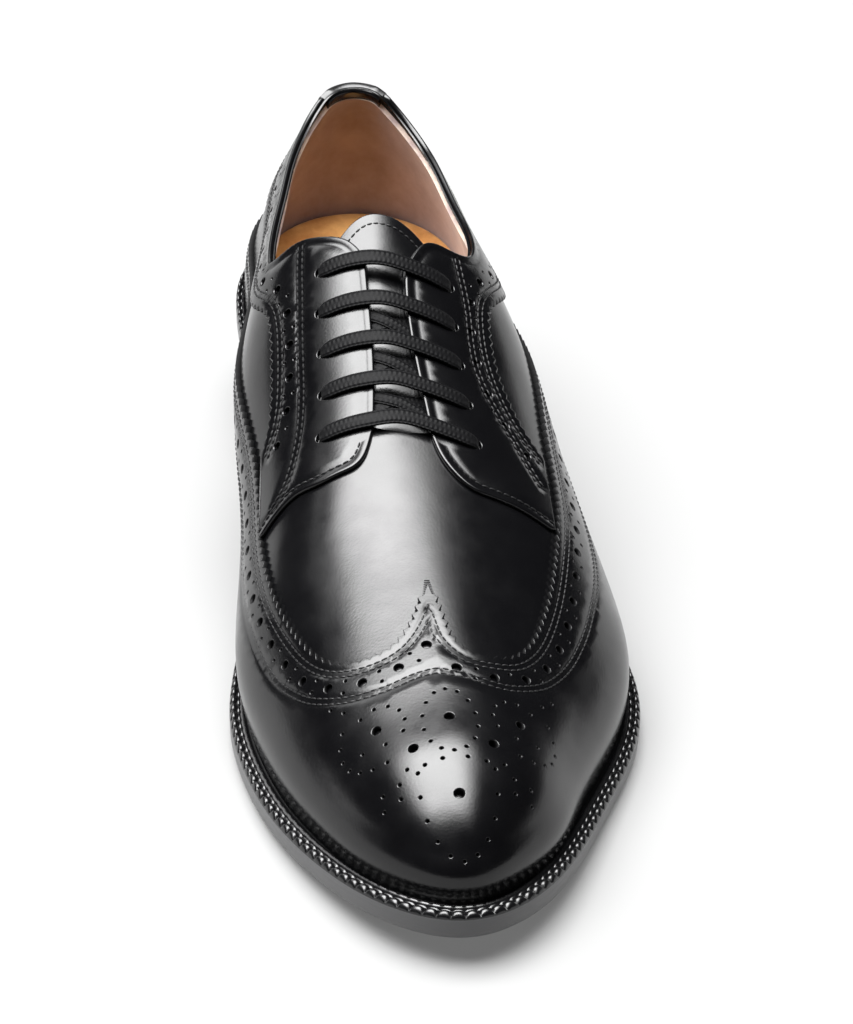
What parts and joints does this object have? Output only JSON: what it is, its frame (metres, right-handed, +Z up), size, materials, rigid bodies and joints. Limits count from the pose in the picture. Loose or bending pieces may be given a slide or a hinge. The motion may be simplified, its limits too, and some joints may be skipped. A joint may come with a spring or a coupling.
{
  "type": "brogue derby shoe",
  "caption": "Black leather long-wing brogue derby, left shoe: hollow lasted upper with open lacing on a welted sole with toe spring, arch and stacked heel.",
  "frame": {"origin": "on the floor, under the centre of the shoe's bounding box", "axes": "+Z up; -Y towards the toe and +Y towards the heel; +X towards the outer (lateral) side of the left foot"},
  "size_m": [0.1111, 0.304, 0.1001],
  "materials": {
    "sole_leather": "black satin edge ink",
    "welt_leather": "black, wheeled",
    "heel_leather": "black satin edge ink",
    "lift_rubber": "matt",
    "sock_leather": "natural tan",
    "upper_calf": "polished black calf",
    "wing_calf": "polished black calf",
    "facing_calf": "polished black calf",
    "stay_calf": "polished black calf",
    "tongue_calf": "polished black calf",
    "waxed_cotton": "flat woven, waxed"
  },
  "bodies": {
    "root": {"outsole": "sole_leather", "welt": "welt_leather", "heel_stack": "heel_leather", "heel_top_lift": "lift_rubber", "insole": "sock_leather", "upper": "upper_calf", "wing_tip": "wing_calf", "facing_lateral": "facing_calf", "facing_medial": "facing_calf", "backstay": "stay_calf", "tongue": "tongue_calf", "laces": "waxed_cotton"}
  },
  "joints": []
}
